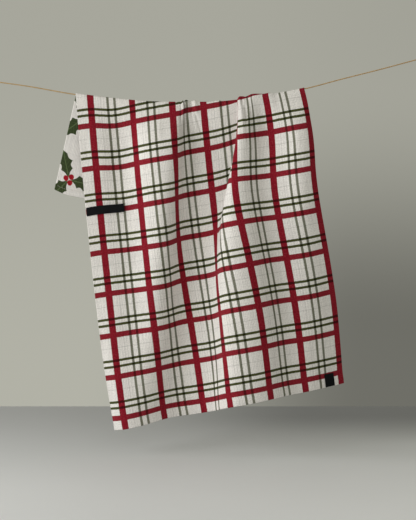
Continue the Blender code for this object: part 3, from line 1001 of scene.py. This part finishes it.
def print_finish(context):
    """The reverse: a print of holly sprigs, berries and small stars on the same cotton.

    A sprig is one leaf repeated three times round its middle; a leaf's half width is a sine along
    it, scalloped into points, and berries sit between the leaves. A star is one straight side
    from a tip to a valley, repeated ten times."""
    motif = context.scene.reverse_print
    finish, u, v, shade, relief = cotton("printed_cotton", context.scene.towel.rib / MM)
    spacing, leaf = motif.spacing / MM, motif.leaf / MM
    berry, star = motif.berry / MM, motif.star / MM
    shift_u, shift_v = PRINT_SHIFT
    x, y = print_cells(finish, u, v, spacing, shift_u, shift_v)
    reach = away(finish, x, y)
    angle = finish.maths("ARCTAN2", y, x)
    sixth = FULL_TURN / 6
    folded = finish.wrap(angle, sixth)
    along = reach * folded.cos() - LEAF_START
    across = abs(reach * folded.sin())
    inside = finish.maths("MINIMUM", finish.maths("MAXIMUM", along / leaf, 0.0), 1.0)
    points = abs((inside * (LEAF_POINTS * math.pi)).sin())
    half = (inside * math.pi).sin() * (LEAF_WIDTH * leaf - points * (LEAF_SCALLOP * leaf))
    leaves = finish.fade(across - half, -PRINT_BLUR, PRINT_BLUR, 1.0, 0.0)
    vein = finish.fade(across, 0.5, 1.0, 1.0, 0.0)
    side_vein = finish.fade(abs(finish.wrap(along - across, VEIN_GAP / 2)), 0.25, 0.65, 0.45, 0.0)
    veins = finish.maths("MAXIMUM", vein, side_vein) * leaves

    opposite = finish.wrap(angle + sixth, sixth)
    from_berry = away(finish, reach * opposite.cos() - BERRY_PLACE * berry, reach * opposite.sin())
    berries = finish.fade(from_berry, berry - PRINT_BLUR, berry + PRINT_BLUR, 1.0, 0.0)

    x, y = print_cells(finish, u, v, spacing, shift_u + spacing / 2, shift_v + spacing / 4)
    reach = away(finish, x, y)
    tenth = FULL_TURN / 10
    angle = abs(finish.wrap(finish.maths("ARCTAN2", y, x), tenth))
    valley = STAR_VALLEY * star
    side = (reach * angle.cos() - star) * (valley * math.sin(tenth))
    side = side - reach * angle.sin() * (valley * math.cos(tenth) - star)
    stars = finish.fade(side, -1.2, 1.2, 1.0, 0.0)

    ground = tuple(context.scene.towel.ground)
    green, red = tint(motif.green, ground), tint(motif.red, ground)
    light = tuple(min(1.0, VEIN_LIGHTER * part) for part in green)
    look = finish.mix(leaves, ground, green, "MULTIPLY")
    look = finish.mix(veins * 0.5, look, light)
    look = finish.mix(berries, look, tuple(motif.red))
    look = finish.mix(stars, look, red, "MULTIPLY")
    uneven = finish.noise(u * 0.9, v * 0.9, 11.0)
    finish.paint(look, shade + finish.fade(uneven, 0.35, 0.65, -0.04, 0.04))
    finish.bump(relief, WEAVE_RELIEF)
    return finish.material


def black_tape_finish(context):
    """Black ribbed tape: cross ribs a little under a millimetre apart, with a dull gleam."""
    finish = Finish("black_ribbed_tape", roughness=0.7, specular=0.12)
    u, v = finish.flat()
    rib = (u * (FULL_TURN / TAPE_RIB)).cos()
    yarn = finish.noise(u * 0.4, v * 2.2, detail=3.0)
    # Painted shade in the grooves between ribs and painted light on their crests; the yarn noise is its
    # own tone
    shade = finish.fade(rib, -1.0, 0.6, 0.55, 1.1) + finish.fade(yarn, 0.3, 0.7, -0.2, 0.35)
    finish.paint(tuple(context.scene.trims.black), shade)
    finish.bump(rib + yarn * 0.8, 0.12)
    return finish.material


def black_satin_finish(context):
    """Black satin label: fine twill lines at a slant and a soft gleam."""
    finish = Finish("black_satin", roughness=0.6, specular=0.1)
    u, v = finish.flat()
    twill = ((u + v * 1.7) * (FULL_TURN / LABEL_TWILL)).sin()
    yarn = finish.noise(u * 2.5, v * 0.3, detail=3.0)
    # Painted light and shade along the twill lines; the yarn noise is its own tone
    shade = finish.fade(twill, -1.0, 1.0, 0.75, 1.1) + finish.fade(yarn, 0.3, 0.7, -0.15, 0.25)
    finish.paint(tuple(context.scene.trims.black), shade)
    finish.bump(twill, 0.05)
    return finish.material


def thread_finish(context):
    """Sewing thread: two plies twisted at a slant."""
    finish = Finish("cotton_thread", roughness=0.75, specular=0.3)
    u, v = finish.flat()
    twist = ((u + v * 0.5) * (FULL_TURN / THREAD_TWIST)).sin()
    # Painted shade between the twisted plies and painted light on them
    finish.paint(tuple(context.scene.trims.thread), finish.fade(twist, -1.0, 1.0, 0.78, 1.08))
    finish.bump(twist, 0.05)
    return finish.material


def jute_finish(context):
    """Jute: coarse fibres that run along each ply, from straw to brown."""
    twine = context.scene.twine
    finish = Finish("jute_fibre", roughness=0.8, specular=0.25)
    finish.shader.inputs["Sheen Weight"].default_value = 0.2
    along, around = finish.flat()
    fibre = finish.noise(along * 0.35, around * 6.0, scale=2.0, detail=4.0)
    patch = finish.noise(along * 0.06, around, 4.0)
    share = finish.fade(fibre, 0.3, 0.7, 0.0, 0.7) + finish.fade(patch, 0.35, 0.65, 0.0, 0.3)
    look = finish.mix(share, tuple(twine.dark), tuple(twine.light))
    finish.feed(finish.shader.inputs["Base Color"], look)
    finish.bump(fibre, 0.25)
    return finish.material


def floor_finish(context):
    """A matt floor with a very faint mottle, and painted light and shadow.

    Painted light falloff darkens it towards the backdrop's foot and lightens it to the right, and a
    painted shadow of the towel darkens the corner far back on the right."""
    finish = Finish("matt_floor", roughness=0.85, specular=0.2)
    x, y, z = finish.split("ShaderNodeTexCoord", "Object")
    shade = finish.fade(finish.noise(x, y, z, 3.0, 3.0), 0.2, 0.8, 0.985, 1.015)
    # Painted light falloff: darker towards the backdrop's foot, lighter to the right
    shade = shade * finish.fade(y, -0.4, 0.45, 1.07, 0.66) * finish.fade(x, 0.2, 0.9, 1.0, 1.12)
    # Painted shadow of the towel, far back on the right
    corner = finish.fade(x, 0.25, 0.65) * finish.fade(y, 0.06, 0.36)
    finish.paint(tuple(context.scene.stage_set.floor), shade * (1.0 - corner * FLOOR_PAINTED_SHADOW))
    return finish.material


# ---- Operators -------------------------------------------------------------------------------

class TOWEL_OT_stage(bpy.types.Operator):
    """Camera, soft lights, backdrop colour with a painted shadow and painted light falloff, and floor
    """
    bl_idname = "tea_towel.stage"
    bl_label = "Stage"

    def execute(self, context):
        stage = context.scene.stage_set
        context.scene.view_settings.view_transform = "Standard"

        pitch = math.radians(CAMERA_PITCH)
        camera = bpy.data.objects.new("camera", bpy.data.cameras.new("camera"))
        camera.data.lens = stage.lens
        camera.data.sensor_width = 36.0
        backwards = Vector((0.0, -math.cos(pitch), math.sin(pitch)))
        camera.location = Vector(LOOK_AT) + stage.distance * backwards
        camera.rotation_euler = (math.radians(90.0) - pitch, 0.0, 0.0)
        context.scene.collection.objects.link(camera)
        context.scene.camera = camera

        floor = self.floor_plane(context)

        for name, place, size, share in LAMPS:
            light = bpy.data.lights.new(name, "AREA")
            light.shape = "SQUARE"
            light.size = size
            light.energy = share * stage.key
            lamp = bpy.data.objects.new(name, light)
            lamp.location = Vector(LAMPS_AIM) + Vector(place)
            lamp.rotation_euler = (-Vector(place)).to_track_quat("-Z", "Y").to_euler()
            context.scene.collection.objects.link(lamp)

        context.scene.world = self.backdrop(stage.wall)
        return {"FINISHED"}

    @staticmethod
    def backdrop(colour_value):
        """A backdrop colour with painted light falloff, a little lighter low down and darker to the
        right, and one soft painted shadow of the towel low on the right.

        The painted shadow is a product of smooth steps of the direction's x, y and z."""
        world = bpy.data.worlds.new("backdrop")
        world.use_nodes = True
        paint = Painter(world.node_tree)
        x, y, z = paint.split("ShaderNodeTexCoord", "Generated")
        # Painted shadow of the towel low on the right, then painted light falloff: lighter low down,
        # darker to the right
        side = paint.fade(x, -0.10, 0.12) * paint.fade(x, 0.4, 0.8, 1.0, 0.0)
        low = paint.fade(z, -0.14, 0.05, 1.0, 0.0) * paint.fade(y, 0.2, 0.6)
        shade = (1.0 - side * low * WALL_PAINTED_SHADOW) * paint.fade(z, -0.20, 0.10, 1.08, 0.94)
        shade = shade * paint.fade(x, 0.0, 0.16, 1.0, 0.94)
        socket = world.node_tree.nodes["Background"].inputs["Color"]
        paint.feed(socket, paint.scaled(tuple(colour_value), shade))
        return world

    @staticmethod
    def floor_plane(context):
        """A level grid, whose far edge is the foot of the backdrop."""
        x, y = np.meshgrid(np.linspace(*FLOOR_X), np.linspace(*FLOOR_Y))
        z = np.full_like(x, context.scene.stage_set.floor_height)
        points = np.stack([x, y, z], axis=-1).reshape(-1, 3) / MM
        floor = new_piece("floor", points, grid_faces(*x.shape))
        floor.data.materials.append(floor_finish(context))
        return floor


class TOWEL_OT_line(bpy.types.Operator):
    """The jute line, with the loop and knot at each end"""
    bl_idname = "tea_towel.line"
    bl_label = "Twine line"

    def execute(self, context):
        twine = context.scene.twine
        diameter, lay = twine.diameter / MM, twine.lay / MM
        finish = jute_finish(context)
        x = np.linspace(ROUTE[0][0] + END_GAP, ROUTE[-1][0] - END_GAP, LINE_POINTS)
        path = np.stack([x, np.zeros_like(x), line_height(x)], axis=-1)
        line = new_piece("jute_line", *twisted(path, diameter, lay))
        line.data.materials.append(finish)
        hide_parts("twine_line")
        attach(line, BODY)

        for name, centre, end, node in (
                ("jute_loop_left", LEFT_LOOP, ROUTE[0], "line_loop_left"),
                ("jute_loop_right", RIGHT_LOOP, ROUTE[-1], "line_loop_right")):
            loop = self.loop(name, centre, end, diameter, lay)
            loop.data.materials.append(finish)
            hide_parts(node)
            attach(loop, BODY)
        return {"FINISHED"}

    @staticmethod
    def loop(name, centre, end, diameter, lay):
        """A ring of twine, and a knot whose wraps wind round the line where the ring closes."""
        centre, end = np.array([centre[0], 0.0, centre[1]]), np.array([end[0], 0.0, end[1]])
        out = (end - centre) / np.linalg.norm(end - centre)
        side = np.array([0.0, 1.0, 0.0])
        up = np.cross(out, side)
        turn = np.linspace(LOOP_OPENING, FULL_TURN - LOOP_OPENING, LOOP_POINTS)[:, None]
        ring = centre + LOOP_RADIUS * (np.cos(turn) * out + np.sin(turn) * up)
        share = np.linspace(0.0, 1.0, LOOP_POINTS)[:, None]
        wrap = KNOT_WRAPS * FULL_TURN * share
        middle = centre + out * (LOOP_RADIUS + KNOT_START + KNOT_LENGTH * share)
        spread = KNOT_SPREAD * diameter / 2 + KNOT_SWELL * np.sin(0.5 * np.pi * share)
        wraps = middle + spread * (np.cos(wrap) * up + np.sin(wrap) * side)
        parts = (twisted(ring, diameter, lay), twisted(wraps, KNOT_STRAND * diameter, lay))
        return new_piece(name, *joined(parts))


class TOWEL_OT_cloth(bpy.types.Operator):
    """The draped cloth, in one piece with its turned hems"""
    bl_idname = "tea_towel.cloth"
    bl_label = "Cloth"

    def execute(self, context):
        towel = context.scene.towel
        middle, flat_u, flat_v = towel_surface(context)
        front, behind = self.half_thicknesses(towel, flat_u, flat_v)
        cloth = shell("plaid_cloth", middle, front, behind, flat_u, flat_v)
        cloth.data.materials.append(plaid_finish(context))
        cloth.data.materials.append(print_finish(context))
        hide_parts("towel_cloth")
        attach(cloth, BODY)

        stitches = self.hem_stitches(context, middle, flat_v, behind)
        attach(stitches, BODY)
        return {"FINISHED"}

    @staticmethod
    def half_thicknesses(towel, flat_u, flat_v):
        """How far the cloth reaches to the front and behind: half its thickness and its hems' rise."""
        from_hem = np.minimum(flat_v, towel.cut / MM - flat_v)
        from_side = np.minimum(flat_u, towel.width / MM - flat_u)
        hem = towel.hem_rise / MM * (1.0 - ease((from_hem - HEM_WIDTH) / HEM_EASES))
        edge = EDGE_RISE * (1.0 - ease((from_side - EDGE_WIDTH) / EDGE_WIDTH))
        half = towel.thickness / MM / 2 + edge
        return half + HEM_ON_FRONT * hem, half + (1.0 - HEM_ON_FRONT) * hem

    @staticmethod
    def hem_stitches(context, middle, flat_v, behind):
        """Short stitches along both hems, each a sunk arc of thread, on the reverse of the cloth.

        A stitch is a tube whose middle rises as a sine between the holes where it goes in."""
        cut = context.scene.towel.cut / MM
        normal = outward(middle)
        share = np.linspace(0.0, 1.0, STITCH_POINTS)
        around = np.tile(np.arange(THREAD_SIDES) / THREAD_SIDES, STITCH_POINTS)
        parts = []
        for line in (STITCH_LINE, cut - STITCH_LINE):
            row = int(np.argmin(np.abs(flat_v[:, flat_v.shape[1] // 2] - line)))
            base = middle[row] - normal[row] * behind[row][:, None]
            along = np.concatenate([[0.0], np.cumsum(np.linalg.norm(np.diff(base, axis=0), axis=1))])
            starts = np.arange(STITCH_FIRST, along[-1] - STITCH_LAST, STITCH_PITCH)
            at = starts[:, None] + STITCH_LENGTH * share
            spine = np.stack([np.interp(at, along, base[:, k]) for k in range(3)], axis=-1)
            out = np.stack([np.interp(at, along, normal[row][:, k]) for k in range(3)], axis=-1)
            spine = spine - out * (STITCH_RISE * np.sin(np.pi * share) - STITCH_SUNK)[None, :, None]
            for stitch, place in zip(spine, at):
                points, faces = tube(stitch, THREAD_RADIUS, THREAD_SIDES)
                uv = np.stack([np.repeat(place, THREAD_SIDES), around], axis=-1)
                parts.append((points, faces, uv))
        stitches = new_piece("hem_stitches", *joined(parts))
        stitches.data.materials.append(thread_finish(context))
        return stitches


class TOWEL_OT_tape(bpy.types.Operator):
    """The hanging tape, sewn at the cloth's left edge, its right end lifting a little"""
    bl_idname = "tea_towel.tape"
    bl_label = "Hanging tape"

    def execute(self, context):
        towel, trims = context.scene.towel, context.scene.trims
        reach, wide, thick = trims.tape_length / MM, trims.tape_width / MM, trims.tape_thickness / MM
        middle = (towel.first_weft + TAPE_WEFT * towel.repeat) / MM
        u = strip_lines(reach, *TAPE_ALONG)
        v = middle - wide / 2 + strip_lines(wide, *TAPE_ACROSS)
        grid_u, grid_v = np.meshgrid(u, v)
        upper = (grid_v - v[0]) / wide
        close = SOLID_THICKNESS / 2 + TRIM_GAP + SOLID_TAPE / 2
        lift = TAPE_LIFT * ease((grid_u - TAPE_LIFT_START) / (reach - TAPE_LIFT_START))
        lift *= TAPE_LIFT_LOWER + (1.0 - TAPE_LIFT_LOWER) * upper
        wave = TAPE_WAVE * np.sin(grid_u / 5.0 + 1.0) * np.sin(grid_v / 4.0)
        points = on_front(context, u, v, close + lift + wave, TAPE_SLANT)
        edge = np.minimum(grid_v - v[0], v[-1] - grid_v)
        woven = TAPE_EDGE * bell((edge - TAPE_EDGE_PLACE) / TAPE_EDGE_HALF)
        half = thick / 2 * (TAPE_MIDDLE + woven)
        tape = shell("woven_tape", points, half, half, grid_u, grid_v - v[0])
        tape.data.materials.append(black_tape_finish(context))
        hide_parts("hanging_tape")
        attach(tape, BODY)
        return {"FINISHED"}


class TOWEL_OT_label(bpy.types.Operator):
    """The small bare label on the front hem"""
    bl_idname = "tea_towel.label"
    bl_label = "Hem label"

    def execute(self, context):
        trims = context.scene.trims
        left, wide = trims.label_left / MM, trims.label_width / MM
        high, thick = trims.label_height / MM, trims.label_thickness / MM
        u = left + strip_lines(wide, *LABEL_ACROSS)
        v = strip_lines(high, *LABEL_UP)
        grid_u, grid_v = np.meshgrid(u, v)
        close = SOLID_THICKNESS / 2 + TRIM_GAP + SOLID_LABEL / 2
        points = on_front(context, u, v, np.full(grid_u.shape, close))
        edge = np.minimum(np.minimum(grid_u - u[0], u[-1] - grid_u), v[-1] - grid_v)
        half = thick / 2 * (LABEL_EDGE + (1.0 - LABEL_EDGE) * ease(edge / LABEL_EDGE_WIDTH))
        label = shell("satin_label", points, half, half, grid_u - left, grid_v)
        label.data.materials.append(black_satin_finish(context))
        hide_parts("hem_label")
        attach(label, BODY)
        return {"FINISHED"}


class TOWEL_PT_panel(bpy.types.Panel):
    """Lists the pieces and their settings"""
    bl_idname = "TOWEL_PT_panel"
    bl_label = "Tea Towel"
    bl_space_type = "VIEW_3D"
    bl_region_type = "UI"
    bl_category = "Tea Towel"

    def draw(self, context):
        column = self.layout.column(align=True)
        for operator in OPERATORS:
            column.operator(operator.bl_idname)
        for name, group in SETTINGS:
            box = self.layout.box()
            box.label(text=name.replace("_", " ").capitalize())
            for key in group.__annotations__:
                box.prop(getattr(context.scene, name), key)


SETTINGS = (
    ("towel", TowelSettings),
    ("reverse_print", PrintSettings),
    ("trims", TrimSettings),
    ("twine", TwineSettings),
    ("stage_set", StageSettings),
)
OPERATORS = (TOWEL_OT_stage, TOWEL_OT_line, TOWEL_OT_cloth, TOWEL_OT_tape, TOWEL_OT_label)


def register():
    for name, group in SETTINGS:
        bpy.utils.register_class(group)
        setattr(bpy.types.Scene, name, bpy.props.PointerProperty(type=group))
    for operator in OPERATORS:
        bpy.utils.register_class(operator)
    bpy.utils.register_class(TOWEL_PT_panel)


def unregister():
    bpy.utils.unregister_class(TOWEL_PT_panel)
    for operator in reversed(OPERATORS):
        bpy.utils.unregister_class(operator)
    for name, group in reversed(SETTINGS):
        delattr(bpy.types.Scene, name)
        bpy.utils.unregister_class(group)


def main():
    """Makes everything in order."""
    register()
    bpy.ops.tea_towel.stage()
    bpy.ops.tea_towel.line()
    bpy.ops.tea_towel.cloth()
    bpy.ops.tea_towel.tape()
    bpy.ops.tea_towel.label()


if __name__ == "__main__":
    main()
